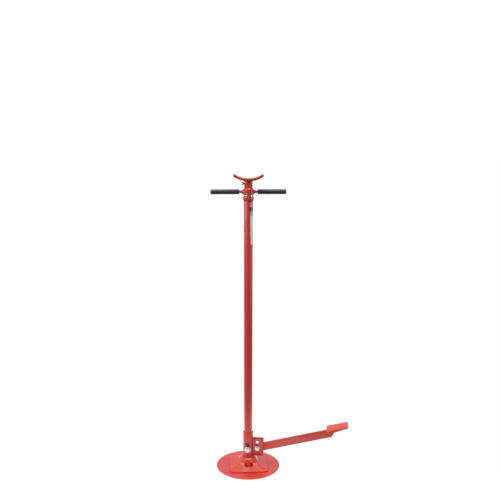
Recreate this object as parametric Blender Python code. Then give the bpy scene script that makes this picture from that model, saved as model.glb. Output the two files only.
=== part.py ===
"""Under-hoist support stand with a foot pedal, built as separate pieces.

Frame: metres, +Z up, origin at the centre of the base's underside, pedal towards +X, bolt heads
towards -Y. The stand is shown lowered, with the pedal up.

How it works: the handle is a nut that turns on a thrust bearing, so turning it winds the screw and
its saddle up out of the column. Pressing the pedal turns the arm about the pivot bolt. The arm's
inner end reaches through a window in the sleeve and lifts the bolt that crosses the column.
"""

import math

import bpy
import bmesh
from mathutils import Matrix, Vector

MM = 0.001
PLAY = 0.3 * MM  # gap left between pieces that touch

# Driving dimensions
BASE_RADIUS = 152.5 * MM
BASE_THICKNESS = 5 * MM
COLUMN_RADIUS = 19.05 * MM
COLUMN_BORE = 17 * MM  # bores are radii
COLUMN_BOTTOM = 75 * MM
COLUMN_TOP = 1262 * MM
SLEEVE_RADIUS = 23.8 * MM
SLEEVE_BORE = 19.7 * MM
SLEEVE_TOP = 180 * MM
SCREW_RADIUS = 12.6 * MM
PIVOT_X = 45 * MM
PIVOT_Z = 98 * MM
PEDAL_INCLINE = math.radians(15.2)

# How far round the pedestal, the handle and the saddle stand from the pedal's direction
PEDESTAL_TURN = math.radians(10)
HANDLE_TURN = math.radians(9)
SADDLE_TURN = math.radians(6.5)

# Base
PEDESTAL_HALF_WIDTH = 90 * MM
PEDESTAL_SHEET = 3.5 * MM
PEDESTAL_FOOT_Z = BASE_THICKNESS + PLAY + 3.6 * MM
PEDESTAL_FACE_SLOPE = 0.46
PEDESTAL_HOLE_OUT = 53 * MM  # centre of each oval hole, out from the axis and up
PEDESTAL_HOLE_Z = 28.7 * MM
PEDESTAL_HOLE_TILT = math.radians(35)
PEDESTAL_HOLE_HEIGHT = 28 * MM
PEDESTAL_HOLE_WIDTH = 38 * MM
PEDESTAL_NOTCH_WIDTH = 52 * MM
PEDESTAL_NOTCH_TOP = PEDESTAL_FOOT_Z - 0.3 * MM
NECK_RADIUS = SLEEVE_RADIUS + PLAY + 0.42 * PEDESTAL_SHEET
DOME_HALF_WIDTH = 48 * MM
DOME_SQUARENESS = 4  # 2 would make the dome's foot round
DOME_FULLNESS = 1.5  # 1 would make the dome a cone
DOME_FOOT_Z = 28 * MM
DOME_TOP = 52 * MM
BRACKET_THICKNESS = 4.5 * MM
BRACKET_GAP = 14 * MM
BRACKET_INNER_X = 23.2 * MM
BRACKET_OUTER_X = 74.5 * MM
BRACKET_BOTTOM = 59 * MM
BRACKET_TOP = 146 * MM
BRACKET_SLOT_TOP = 136.5 * MM

# Bolts: shank radius, width of the hexagon across its flats, head and nut heights
PIVOT_BOLT = {"shank": 6 * MM, "flats": 18 * MM, "head": 7.5 * MM, "nut": 10 * MM}
LIFT_BOLT = {"shank": 8 * MM, "flats": 24 * MM, "head": 10 * MM, "nut": 13 * MM}
PIVOT_WASHER_RADIUS = 12 * MM
PIVOT_WASHER_THICKNESS = 2.5 * MM
LIFT_WASHER_RADIUS = 15 * MM
LIFT_WASHER_THICKNESS = 3 * MM
BOLT_CLEARANCE = 0.5 * MM
LIFT_BOLT_Z = 94.5 * MM
LIFT_SLOT_TOP = 131 * MM

# Pedal arm, in the arm's own frame: x runs outwards along the arm, z across it
ARM_THICKNESS = 10 * MM
ARM_TOP = 18.5 * MM
ARM_BOTTOM = -20 * MM
ARM_INNER_END = -54 * MM
ARM_STEP_X = -33 * MM
ARM_CHAMFER_START = 361 * MM
ARM_CHAMFER_END = 377 * MM
ARM_END = 417 * MM
ARM_TONGUE_ROOT = 19.5 * MM  # depth of the thin end under the pedal plate
ARM_TONGUE_TIP = 15 * MM
PEDAL_START = 347 * MM
PEDAL_LENGTH = 101 * MM
PEDAL_WIDTH = 74 * MM
PEDAL_THICKNESS = 5 * MM
ARM_WINDOW_BOTTOM = 67 * MM
ARM_WINDOW_TOP = 125 * MM
COLUMN_NOTCH_TOP = 116 * MM
ARM_SLOT_WIDTH = 12.6 * MM

# Head of the column
COLLAR_RADIUS = 23.2 * MM
COLLAR_TOP = 1272 * MM
BEARING_BORE = 13.6 * MM
BEARING_RADIUS = 21.2 * MM
CAGE_BORE = 14.2 * MM
CAGE_RADIUS = 18.8 * MM
CAGE_THICKNESS = 1.4 * MM
BALL_RADIUS = 1.9 * MM
BALL_PITCH_RADIUS = 16.5 * MM
BALL_Z = 1277 * MM
BALLS = 12
HUB_RADIUS = 21.8 * MM
HUB_BOTTOM = 1281.2 * MM
HUB_TOP = 1311 * MM
ROD_Z = 1293 * MM
ROD_RADIUS = 5.5 * MM
ROD_START = 20 * MM
BOSS_START = 18.2 * MM
BOSS_REACH = 28.5 * MM
BOSS_ROOT_RADIUS = 11.4 * MM
BOSS_TIP_RADIUS = 6.4 * MM
GRIP_RADIUS = 10.2 * MM
GRIP_START = 40 * MM
GRIP_END = 161 * MM
GRIP_CAP = 3 * MM

# Screw and saddle
SCREW_TOP = 1338.7 * MM
SCREW_BOTTOM = 588 * MM
SCREW_STUB_LENGTH = 24 * MM
GUIDE_LENGTH = 8 * MM
GUIDE_NUT_FLATS = 24 * MM
GUIDE_NUT_LENGTH = 10 * MM
SCREW_STUB_RADIUS = 8 * MM
SOCKET_RADIUS = 17.65 * MM
SOCKET_BORE = 13 * MM
SOCKET_BOTTOM = HUB_TOP + 2 * PLAY
SOCKET_TOP = 1339 * MM
SADDLE_WIDTH = 50 * MM
SADDLE_THICKNESS = 8 * MM
SADDLE_FLAT = 5 * MM  # half length of the flat middle
SADDLE_REACH = 60.4 * MM
SADDLE_RADIUS = 94 * MM
WING_SCREW_Z = 1327 * MM
WING_SPAN = 12 * MM
WING_TIP = 29.6 * MM  # measured out from the stand's axis
WING_THICKNESS = 2.4 * MM
WING_SCREW_RADIUS = 3 * MM

RED_PAINT = ((0.62, 0.07, 0.05), 0.3, 0.1)
ZINC = ((0.8, 0.8, 0.82), 0.3, 1.0)
STEEL = ((0.55, 0.55, 0.56), 0.35, 1.0)
DARK_STEEL = ((0.16, 0.16, 0.17), 0.45, 0.9)
FOAM = ((0.03, 0.03, 0.032), 0.8, 0.0)


def clear_scene():
    for old in list(bpy.data.objects):
        bpy.data.objects.remove(old, do_unlink=True)


def make_material(name, look):
    colour, roughness, metallic = look
    made = bpy.data.materials.new(name)
    made.use_nodes = True
    shader = made.node_tree.nodes["Principled BSDF"]
    shader.inputs["Base Color"].default_value = (*colour, 1)
    shader.inputs["Roughness"].default_value = roughness
    shader.inputs["Metallic"].default_value = metallic
    return made


def make_empty(name, location, parent=None, turn=0.0):
    """An empty on a joint's axis, which carries the pieces that move together."""
    empty = bpy.data.objects.new(name, None)
    empty.location = location
    empty.rotation_euler = (0, 0, turn)
    empty.parent = parent
    bpy.context.scene.collection.objects.link(empty)
    return empty


def make_object(name, bm, look, parent=None, location=(0, 0, 0), rotation=(0, 0, 0)):
    """Turns a bmesh into a named object with its own material, shaded smooth but for its edges."""
    bmesh.ops.recalc_face_normals(bm, faces=bm.faces)
    mesh = bpy.data.meshes.new(name)
    bm.to_mesh(mesh)
    bm.free()
    mesh.shade_smooth()
    mesh.set_sharp_from_angle(angle=math.radians(35))
    made = bpy.data.objects.new(name, mesh)
    made.location = location
    made.rotation_euler = rotation
    made.parent = parent
    mesh.materials.append(make_material(name, look))
    bpy.context.scene.collection.objects.link(made)
    return made


def turned(profile, segments=48):
    """Spins a closed outline of (radius, height) points about Z. Points may lie on the axis."""
    bm = bmesh.new()
    corners = [bm.verts.new((radius, 0, height)) for radius, height in profile]
    for index, corner in enumerate(corners):
        following = corners[(index + 1) % len(corners)]
        if corner.co.x > 0 or following.co.x > 0:
            bm.edges.new((corner, following))
    bmesh.ops.spin(
        bm,
        geom=bm.verts[:] + bm.edges[:],
        axis=(0, 0, 1),
        cent=(0, 0, 0),
        steps=segments,
        angle=2 * math.pi,
        use_merge=True,
    )
    bmesh.ops.remove_doubles(bm, verts=bm.verts, dist=1e-6)
    return bm


def ring(inner, outer, bottom, top, segments=48):
    return turned([(inner, bottom), (outer, bottom), (outer, top), (inner, top)], segments)


def add_cone(bm, placing, radius1, radius2, depth, segments):
    """Adds a closed cone or cylinder, its middle and its direction set by a matrix."""
    bmesh.ops.create_cone(
        bm,
        cap_ends=True,
        segments=segments,
        radius1=radius1,
        radius2=radius2,
        depth=depth,
        matrix=placing,
    )


def cone(radius1, radius2, bottom, top, segments=32):
    bm = bmesh.new()
    middle = Matrix.Translation((0, 0, (bottom + top) / 2))
    add_cone(bm, middle, radius1, radius2, top - bottom, segments)
    return bm


def rod(radius, bottom, top, segments=32):
    return cone(radius, radius, bottom, top, segments)


def box(low, high):
    bm = bmesh.new()
    size = [end - start for start, end in zip(low, high)]
    centre = [(start + end) / 2 for start, end in zip(low, high)]
    placing = Matrix.Translation(centre) @ Matrix.Diagonal((*size, 1))
    bmesh.ops.create_cube(bm, size=1, matrix=placing)
    return bm


def prism(corners, grow):
    """A flat outline of corner points pushed along a vector into a closed body."""
    bm = bmesh.new()
    face = bm.faces.new([bm.verts.new(corner) for corner in corners])
    grown = bmesh.ops.extrude_face_region(bm, geom=[face])
    moved = [item for item in grown["geom"] if isinstance(item, bmesh.types.BMVert)]
    bmesh.ops.translate(bm, verts=moved, vec=grow)
    return bm


def slab(outline, thickness):
    """An upright plate: its outline in X and Z, its thickness along Y about zero."""
    half = thickness / 2
    return prism([(x, -half, z) for x, z in outline], (0, thickness, 0))


def arc(centre, radius, start, end, steps):
    """Points (x, z) on an arc, from one angle to another, both ends included."""
    points = []
    for step in range(steps + 1):
        angle = start + (end - start) * step / steps
        points.append((centre[0] + radius * math.cos(angle), centre[1] + radius * math.sin(angle)))
    return points


def upright_slot(x, bottom, top, width, length):
    """A slot's cutter: straight sides, round ends, cutting along Y."""
    radius = width / 2
    upper = arc((x, top - radius), radius, 0, math.pi, 10)
    lower = arc((x, bottom + radius), radius, math.pi, 2 * math.pi, 10)
    return slab(upper + lower, length)


def apply_cut(piece, name, bm, operation="DIFFERENCE", **placing):
    """Adds a Boolean whose other object is a hidden guide."""
    guide = make_object(name, bm, STEEL, **placing)
    guide.hide_render = True
    guide.display_type = "WIRE"
    boolean = piece.modifiers.new(name, "BOOLEAN")
    boolean.operation = operation
    boolean.object = guide


def soften(piece, width, segments=1):
    bevel = piece.modifiers.new("soft edges", "BEVEL")
    bevel.width = width
    bevel.segments = segments
    bevel.limit_method = "ANGLE"
    bevel.angle_limit = math.radians(40)


ALONG_Y = (math.pi / 2, 0, 0)  # turns +Z to -Y, the side of the bolt heads
TO_REAR = (-math.pi / 2, 0, 0)


# ---------------------------------------------------------------- base

def squarish(half_width, squareness, angle):
    """How far a rounded square reaches from its centre in a direction."""
    spread = abs(math.cos(angle)) ** squareness + abs(math.sin(angle)) ** squareness
    return half_width / spread ** (1 / squareness)


def pedestal_height(radius, angle):
    """Height of the pedestal's top: a low pyramid, and a dome that rises from it to the neck."""
    x, y = radius * math.cos(angle), radius * math.sin(angle)
    pyramid = PEDESTAL_FOOT_Z + (PEDESTAL_HALF_WIDTH - max(abs(x), abs(y))) * PEDESTAL_FACE_SLOPE
    dome_reach = squarish(DOME_HALF_WIDTH, DOME_SQUARENESS, angle)
    share = (radius - NECK_RADIUS) / (dome_reach - NECK_RADIUS)
    share = max(0, min(share, 1))
    dome = DOME_FOOT_Z + (DOME_TOP - DOME_FOOT_Z) * (1 - share**DOME_FULLNESS)
    return max(pyramid, dome)


def pedestal_surface():
    """A sheet from the round neck out to the square foot, as rings of points."""
    directions = 48
    dome_rings = 6
    face_rings = 3
    bm = bmesh.new()
    rows = []
    for ring_index in range(dome_rings + face_rings + 1):
        row = []
        for step in range(directions):
            angle = 2 * math.pi * step / directions
            dome_reach = squarish(DOME_HALF_WIDTH, DOME_SQUARENESS, angle)
            reach = squarish(PEDESTAL_HALF_WIDTH, 22, angle)
            if ring_index <= dome_rings:
                share = ring_index / dome_rings
                radius = NECK_RADIUS + (dome_reach - NECK_RADIUS) * share
            else:
                share = (ring_index - dome_rings) / face_rings
                radius = dome_reach + (reach - dome_reach) * share
            height = pedestal_height(radius, angle)
            row.append(bm.verts.new((radius * math.cos(angle), radius * math.sin(angle), height)))
        rows.append(row)
    for inner, outer in zip(rows, rows[1:]):
        for step in range(directions):
            after = (step + 1) % directions
            bm.faces.new((inner[step], outer[step], outer[after], inner[after]))
    return bm


def build_pedestal():
    turn = make_empty("pedestal_turn", (0, 0, 0), turn=PEDESTAL_TURN)
    sheet = make_object("base_pedestal", pedestal_surface(), RED_PAINT, parent=turn)
    thicken = sheet.modifiers.new("sheet", "SOLIDIFY")
    thicken.thickness = PEDESTAL_SHEET
    thicken.offset = -1
    oval = Matrix.Diagonal((PEDESTAL_HOLE_HEIGHT, PEDESTAL_HOLE_WIDTH, 7 * PEDESTAL_SHEET, 1))
    hole = Matrix.Translation((PEDESTAL_HOLE_OUT, 0, PEDESTAL_HOLE_Z))
    hole = hole @ Matrix.Rotation(PEDESTAL_HOLE_TILT, 4, "Y") @ oval
    notch = Matrix.Translation((PEDESTAL_HALF_WIDTH, 0, PEDESTAL_NOTCH_TOP / 2))
    notch = notch @ Matrix.Diagonal((18 * MM, PEDESTAL_NOTCH_WIDTH, PEDESTAL_NOTCH_TOP, 1))
    holes = bmesh.new()
    notches = bmesh.new()
    for side in range(4):
        spin = Matrix.Rotation(side * math.pi / 2, 4, "Z")
        bmesh.ops.create_cube(notches, size=1, matrix=spin @ notch)
        if side % 2:
            add_cone(holes, spin @ hole, 0.5, 0.5, 1, 28)
    apply_cut(sheet, "pedestal_holes", holes, parent=turn)
    apply_cut(sheet, "pedestal_notches", notches, parent=turn)


def build_sleeve():
    bottom = BASE_THICKNESS + PLAY
    sleeve = make_object(
        "base_sleeve", ring(SLEEVE_BORE, SLEEVE_RADIUS, bottom, SLEEVE_TOP), RED_PAINT
    )
    slot_radius = LIFT_BOLT["shank"] + BOLT_CLEARANCE
    slot = upright_slot(
        0, LIFT_BOLT_Z - slot_radius, LIFT_SLOT_TOP, 2 * slot_radius, 3 * SLEEVE_RADIUS
    )
    apply_cut(sleeve, "sleeve_slots", slot)
    half = ARM_SLOT_WIDTH / 2
    window = box((10 * MM, -half, ARM_WINDOW_BOTTOM), (30 * MM, half, ARM_WINDOW_TOP))
    apply_cut(sleeve, "sleeve_window", window)


def build_bracket():
    for side, word in ((-1, "front"), (1, "rear")):
        offset = side * (BRACKET_GAP + BRACKET_THICKNESS) / 2
        outline = [
            (BRACKET_INNER_X, BRACKET_BOTTOM),
            (BRACKET_OUTER_X, BRACKET_BOTTOM),
            (BRACKET_OUTER_X, BRACKET_TOP),
            (BRACKET_INNER_X, BRACKET_TOP),
        ]
        plate = make_object(
            f"bracket_{word}", slab(outline, BRACKET_THICKNESS), RED_PAINT, location=(0, offset, 0)
        )
        slot_radius = PIVOT_BOLT["shank"] + 1.25 * MM
        slot_bottom = PIVOT_Z - PIVOT_BOLT["shank"] - BOLT_CLEARANCE
        slot = upright_slot(PIVOT_X, slot_bottom, BRACKET_SLOT_TOP, 2 * slot_radius, 30 * MM)
        apply_cut(plate, f"bracket_slot_{word}", slot)
        soften(plate, 0.8 * MM)


def hexagon(flats, bottom, top):
    """A six-sided head or nut."""
    return rod(flats / math.sqrt(3), bottom, top, 6)


def build_bolt_set(name, bolt, centre, face, washer_radius, washer_thickness, parent=None):
    """A hexagon bolt along Y with a washer under its head and a washer and nut at the rear."""
    washer_start = face + PLAY
    washer_end = washer_start + washer_thickness
    grip_end = washer_end + PLAY
    head_end = grip_end + bolt["head"]
    nut_end = grip_end + bolt["nut"]
    tail = nut_end + 3 * MM
    shank = rod(bolt["shank"], -tail, grip_end + 1 * MM, 32)
    place = {"parent": parent, "location": centre, "rotation": ALONG_Y}
    whole = make_object(f"{name}_bolt", shank, ZINC, **place)
    head = hexagon(bolt["flats"], grip_end, head_end)
    apply_cut(whole, f"{name}_bolt_head", head, "UNION", **place)
    bore = bolt["shank"] + 0.4 * MM
    for word, turn in (("front", ALONG_Y), ("rear", TO_REAR)):
        washer = ring(bore, washer_radius, washer_start, washer_end, 32)
        spot = {"parent": parent, "location": centre, "rotation": turn}
        make_object(f"{name}_washer_{word}", washer, ZINC, **spot)
    nut_place = {"parent": parent, "location": centre, "rotation": TO_REAR}
    nut = make_object(f"{name}_nut", hexagon(bolt["flats"], grip_end, nut_end), ZINC, **nut_place)
    hole = rod(bolt["shank"] + PLAY, grip_end - 5 * MM, nut_end + 5 * MM, 32)
    apply_cut(nut, f"{name}_nut_hole", hole, **nut_place)


def build_base():
    make_object("base_plate", rod(BASE_RADIUS, 0, BASE_THICKNESS, 80), RED_PAINT)
    build_pedestal()
    build_sleeve()
    build_bracket()
    build_bolt_set(
        "pivot",
        PIVOT_BOLT,
        (PIVOT_X, 0, PIVOT_Z),
        BRACKET_GAP / 2 + BRACKET_THICKNESS,
        PIVOT_WASHER_RADIUS,
        PIVOT_WASHER_THICKNESS,
    )


# ---------------------------------------------------------------- pedal

def lift_bolt_in_arm():
    """Where the lift bolt's centre lies in the arm's own frame at rest."""
    offset = Vector((-PIVOT_X, 0, LIFT_BOLT_Z - PIVOT_Z))
    return Matrix.Rotation(PEDAL_INCLINE, 3, "Y") @ offset


def build_pedal():
    pivot = make_empty("pedal_axis", (PIVOT_X, 0, PIVOT_Z))
    tilt = {"parent": pivot, "rotation": (0, -PEDAL_INCLINE, 0)}
    cradle = lift_bolt_in_arm().z - LIFT_BOLT["shank"] - 2 * PLAY
    outline = [
        (ARM_INNER_END, ARM_BOTTOM),
        (ARM_CHAMFER_START, ARM_BOTTOM),
        (ARM_CHAMFER_END, ARM_TOP - ARM_TONGUE_ROOT),
        (ARM_END, ARM_TOP - ARM_TONGUE_TIP),
        (ARM_END, ARM_TOP),
        (ARM_STEP_X, ARM_TOP),
        (ARM_STEP_X, cradle),
        (ARM_INNER_END, cradle),
    ]
    arm = make_object("pedal_arm", slab(outline, ARM_THICKNESS), RED_PAINT, **tilt)
    hole = rod(PIVOT_BOLT["shank"] + PLAY, -ARM_THICKNESS, ARM_THICKNESS, 32)
    apply_cut(arm, "pedal_arm_hole", hole, parent=pivot, rotation=ALONG_Y)
    soften(arm, 0.8 * MM)

    underside = ARM_TOP + PLAY
    corner = 7 * MM
    half = PEDAL_WIDTH / 2
    near = PEDAL_START + corner
    far = PEDAL_START + PEDAL_LENGTH - corner
    outline = arc((near, corner - half), corner, math.pi, 1.5 * math.pi, 5)
    outline += arc((far, corner - half), corner, 1.5 * math.pi, 2 * math.pi, 5)
    outline += arc((far, half - corner), corner, 0, 0.5 * math.pi, 5)
    outline += arc((near, half - corner), corner, 0.5 * math.pi, math.pi, 5)
    corners = [(x, y, underside) for x, y in outline]
    plate = make_object("pedal_plate", prism(corners, (0, 0, PEDAL_THICKNESS)), RED_PAINT, **tilt)
    soften(plate, 0.8 * MM)


# ---------------------------------------------------------------- column

def build_column():
    tube = make_object(
        "column_tube", ring(COLUMN_BORE, COLUMN_RADIUS, COLUMN_BOTTOM, COLUMN_TOP), RED_PAINT
    )
    half = ARM_SLOT_WIDTH / 2
    notch = box((8 * MM, -half, COLUMN_BOTTOM - 10 * MM), (30 * MM, half, COLUMN_NOTCH_TOP))
    apply_cut(tube, "column_notch", notch)
    bolt_hole = rod(LIFT_BOLT["shank"] + PLAY, -2 * COLUMN_RADIUS, 2 * COLUMN_RADIUS)
    place = {"location": (0, 0, LIFT_BOLT_Z), "rotation": ALONG_Y}
    apply_cut(tube, "column_bolt_hole", bolt_hole, **place)
    build_bolt_set(
        "lift",
        LIFT_BOLT,
        (0, 0, LIFT_BOLT_Z),
        SLEEVE_RADIUS,
        LIFT_WASHER_RADIUS,
        LIFT_WASHER_THICKNESS,
    )
    guide_bore = SCREW_RADIUS + 2 * PLAY
    shoulder = COLUMN_TOP + PLAY
    taper_bottom = COLUMN_TOP - 6 * MM
    collar = turned(
        [
            (COLUMN_RADIUS + PLAY, taper_bottom),
            (COLUMN_RADIUS + 1 * MM, taper_bottom),
            (COLLAR_RADIUS, COLUMN_TOP + 1 * MM),
            (COLLAR_RADIUS, COLLAR_TOP),
            (guide_bore, COLLAR_TOP),
            (guide_bore, shoulder),
            (COLUMN_RADIUS + PLAY, shoulder),
        ]
    )
    make_object("column_collar", collar, RED_PAINT)
    race_bottom = COLLAR_TOP + PLAY
    race_top = BALL_Z - BALL_RADIUS - PLAY
    lower = ring(BEARING_BORE, BEARING_RADIUS - 2 * MM, race_bottom, race_top)
    make_object("bearing_lower_race", lower, STEEL)


def build_bearing_cage():
    axis = make_empty("bearing_axis", (0, 0, BALL_Z))
    half_height = CAGE_THICKNESS / 2
    cage_ring = ring(CAGE_BORE, CAGE_RADIUS, -half_height, half_height, 60)
    cage = make_object("bearing_cage", cage_ring, STEEL, parent=axis)
    pockets = bmesh.new()
    for index in range(BALLS):
        angle = 2 * math.pi * (index + 0.5) / BALLS
        spot = (BALL_PITCH_RADIUS * math.cos(angle), BALL_PITCH_RADIUS * math.sin(angle), 0)
        pocket_radius = BALL_RADIUS + PLAY
        add_cone(pockets, Matrix.Translation(spot), pocket_radius, pocket_radius, 6 * half_height, 14)
        bm = bmesh.new()
        bmesh.ops.create_uvsphere(bm, u_segments=10, v_segments=6, radius=BALL_RADIUS)
        make_object(f"bearing_ball_{index + 1:02d}", bm, STEEL, parent=axis, location=spot)
    apply_cut(cage, "cage_pockets", pockets, parent=axis)


# ---------------------------------------------------------------- spin handle

def build_handle():
    axis = make_empty("handle_axis", (0, 0, 0), turn=HANDLE_TURN)
    race_bottom = BALL_Z + BALL_RADIUS + PLAY
    skirt_bottom = BALL_Z - 2.8 * MM
    skirt_bore = BEARING_RADIUS - 1.3 * MM
    race = turned(
        [
            (BEARING_BORE, race_bottom),
            (skirt_bore, race_bottom),
            (skirt_bore, skirt_bottom),
            (BEARING_RADIUS, skirt_bottom),
            (BEARING_RADIUS, HUB_BOTTOM - PLAY),
            (BEARING_BORE, HUB_BOTTOM - PLAY),
        ]
    )
    make_object("bearing_upper_race", race, STEEL, parent=axis)

    chamfer_start = HUB_TOP - 7 * MM
    body = turned(
        [
            (SCREW_RADIUS + PLAY, HUB_BOTTOM),
            (HUB_RADIUS, HUB_BOTTOM),
            (HUB_RADIUS, chamfer_start),
            (SOCKET_RADIUS, HUB_TOP),
            (SCREW_RADIUS + PLAY, HUB_TOP),
        ]
    )
    hub = make_object("spin_hub", body, RED_PAINT, parent=axis)
    for side, word in ((1, "right"), (-1, "left")):
        turn = {"parent": axis, "location": (0, 0, ROD_Z), "rotation": (0, side * math.pi / 2, 0)}
        boss = cone(BOSS_ROOT_RADIUS, BOSS_TIP_RADIUS, BOSS_START, BOSS_REACH)
        apply_cut(hub, f"hub_boss_{word}", boss, "UNION", **turn)
        socket = rod(ROD_RADIUS + PLAY, ROD_START - PLAY, BOSS_REACH + 5 * MM, 32)
        apply_cut(hub, f"hub_socket_{word}", socket, **turn)
        rod_end = GRIP_END - GRIP_CAP - PLAY
        make_object(f"handle_rod_{word}", rod(ROD_RADIUS, ROD_START, rod_end), RED_PAINT, **turn)
        bore = ROD_RADIUS + PLAY
        edge = 1.5 * MM
        grip = turned(
            [
                (bore, GRIP_START),
                (GRIP_RADIUS - edge, GRIP_START),
                (GRIP_RADIUS, GRIP_START + edge),
                (GRIP_RADIUS, GRIP_END - edge),
                (GRIP_RADIUS - edge, GRIP_END),
                (0, GRIP_END),
                (0, GRIP_END - GRIP_CAP),
                (bore, GRIP_END - GRIP_CAP),
            ],
            32,
        )
        make_object(f"grip_{word}", grip, FOAM, **turn)


# ---------------------------------------------------------------- screw and saddle

def build_screw():
    axis = make_empty("screw_axis", (0, 0, 0))
    stub_bottom = SCREW_BOTTOM - SCREW_STUB_LENGTH
    screw = turned(
        [
            (0, stub_bottom),
            (SCREW_STUB_RADIUS, stub_bottom),
            (SCREW_STUB_RADIUS, SCREW_BOTTOM),
            (SCREW_RADIUS, SCREW_BOTTOM),
            (SCREW_RADIUS, SCREW_TOP - 1 * MM),
            (SCREW_RADIUS - 1 * MM, SCREW_TOP),
            (0, SCREW_TOP),
        ],
        48,
    )
    make_object("lift_screw", screw, STEEL, parent=axis)
    guide_bottom = SCREW_BOTTOM - GUIDE_LENGTH
    guide_radius = COLUMN_BORE - PLAY
    guide = ring(SCREW_STUB_RADIUS + PLAY, guide_radius, guide_bottom, SCREW_BOTTOM - PLAY)
    make_object("screw_guide", guide, DARK_STEEL, parent=axis)
    nut_top = guide_bottom - PLAY
    hex_nut = hexagon(GUIDE_NUT_FLATS, nut_top - GUIDE_NUT_LENGTH, nut_top)
    nut = make_object("screw_guide_nut", hex_nut, ZINC, parent=axis)
    hole = rod(SCREW_STUB_RADIUS + PLAY, nut_top - 2 * GUIDE_NUT_LENGTH, nut_top + 5 * MM)
    apply_cut(nut, "screw_guide_nut_hole", hole, parent=axis)


def saddle_outline():
    """Side view of the bent saddle plate: a flat middle and a curve up to each tip."""
    top_z = SOCKET_TOP + PLAY + SADDLE_THICKNESS
    centre_z = top_z + SADDLE_RADIUS
    sweep = math.asin((SADDLE_REACH - SADDLE_FLAT) / SADDLE_RADIUS)
    steps = 10
    down = 1.5 * math.pi
    right = (SADDLE_FLAT, centre_z)
    left = (-SADDLE_FLAT, centre_z)
    outer = SADDLE_RADIUS + SADDLE_THICKNESS
    under = arc(left, outer, down - sweep, down, steps)
    under += arc(right, outer, down, down + sweep, steps)
    upper = arc(right, SADDLE_RADIUS, down + sweep, down, steps)
    upper += arc(left, SADDLE_RADIUS, down, down - sweep, steps)
    return under + upper


def build_saddle():
    axis = make_empty("saddle_axis", (0, 0, 0), turn=SADDLE_TURN)
    bent = slab(saddle_outline(), SADDLE_WIDTH)
    plate = make_object("saddle_plate", bent, RED_PAINT, parent=axis)
    soften(plate, 1.2 * MM)
    tube = ring(SOCKET_BORE, SOCKET_RADIUS, SOCKET_BOTTOM, SOCKET_TOP)
    socket = make_object("saddle_socket", tube, RED_PAINT, parent=axis)
    hole = rod(WING_SCREW_RADIUS + PLAY, 10 * MM, 30 * MM, 24)
    turn = {"parent": axis, "location": (0, 0, WING_SCREW_Z), "rotation": (0, -math.pi / 2, 0)}
    apply_cut(socket, "wing_screw_hole", hole, **turn)

    tip = SCREW_RADIUS + PLAY
    shank = rod(WING_SCREW_RADIUS, tip, 22 * MM, 24)
    wing_screw = make_object("wing_screw", shank, DARK_STEEL, **turn)
    body = rod(4.5 * MM, 19 * MM, 24.5 * MM, 24)
    apply_cut(wing_screw, "wing_screw_body", body, "UNION", **turn)
    half_wing = [
        (WING_SPAN / 4, 20 * MM),
        (WING_SPAN / 2, 25 * MM),
        (WING_SPAN / 2, WING_TIP - 0.5 * MM),
        (WING_SPAN / 2 - 2 * MM, WING_TIP),
        (2 * MM, WING_TIP - 5 * MM),
    ]
    other_half = [(-x, z) for x, z in reversed(half_wing)]
    wings = slab(half_wing + other_half, WING_THICKNESS)
    apply_cut(wing_screw, "wing_screw_wings", wings, "UNION", **turn)


clear_scene()
build_base()
build_pedal()
build_column()
build_bearing_cage()
build_handle()
build_screw()
build_saddle()
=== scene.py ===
"""Looks of a support stand for work under a hoist: fine meshes, welds, a blank label, paint and light.

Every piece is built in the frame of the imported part, in metres, and rides on one of its bodies.
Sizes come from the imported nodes' boxes where a node has them, and from the named values below.
"""

from math import asin, atan2, ceil, copysign, cos, hypot, pi, radians, sin, sqrt, tan

import bmesh
import bpy
from mathutils import Matrix, Vector, noise


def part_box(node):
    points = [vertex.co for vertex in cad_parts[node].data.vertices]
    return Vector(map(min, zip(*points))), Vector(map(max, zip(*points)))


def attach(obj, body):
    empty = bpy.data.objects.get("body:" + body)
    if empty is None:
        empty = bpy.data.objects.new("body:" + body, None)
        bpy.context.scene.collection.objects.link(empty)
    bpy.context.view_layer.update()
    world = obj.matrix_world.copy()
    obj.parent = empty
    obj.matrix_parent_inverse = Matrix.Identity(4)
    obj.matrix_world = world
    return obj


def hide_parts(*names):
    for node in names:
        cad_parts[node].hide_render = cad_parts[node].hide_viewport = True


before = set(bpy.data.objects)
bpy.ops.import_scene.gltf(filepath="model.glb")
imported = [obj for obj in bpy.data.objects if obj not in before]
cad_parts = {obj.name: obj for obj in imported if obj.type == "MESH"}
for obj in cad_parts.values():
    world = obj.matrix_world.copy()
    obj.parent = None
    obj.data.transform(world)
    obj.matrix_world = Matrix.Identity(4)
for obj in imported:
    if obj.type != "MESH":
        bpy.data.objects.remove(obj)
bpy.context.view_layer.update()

MM = 0.001
UPRIGHT = Matrix.Rotation(pi / 2, 4, "X")  # local Y becomes up, and local Z faces the front
TO_REAR = Matrix.Rotation(-pi / 2, 4, "X")  # local Z faces the rear
TO_LEFT = Matrix.Rotation(-pi / 2, 4, "Y")  # local Z points away from the pedal

# Turns about the stand's axis, from the pedal's direction
HANDLE_ANGLE = radians(9)
PEDESTAL_TURN = Matrix.Rotation(radians(10), 4, "Z")
HANDLE_TURN = Matrix.Rotation(HANDLE_ANGLE, 4, "Z")
SADDLE_TURN = Matrix.Rotation(radians(6.5), 4, "Z")
PEDAL_INCLINE = radians(15.2)

# Camera
CAMERA_PLACE = Vector((0.347, -3.045, 1.557))
CAMERA_TURN = radians(6.5)
CAMERA_TILT = radians(70)
CAMERA_ROLL = radians(0.07)
CAMERA_LENS = 50.31
CAMERA_SHIFT = (0.0036, 0.26)

# Studio: how bright the floor and the surrounding sky are to everything but the camera
FLOOR_NEAR = 1.15
FLOOR_FAR = 0.18
FLOOR_NEAR_RADIUS = 0.35
FLOOR_FAR_RADIUS = 0.9
SKY_SIDES = 0.56
SKY_FRONT = 0.08

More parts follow.
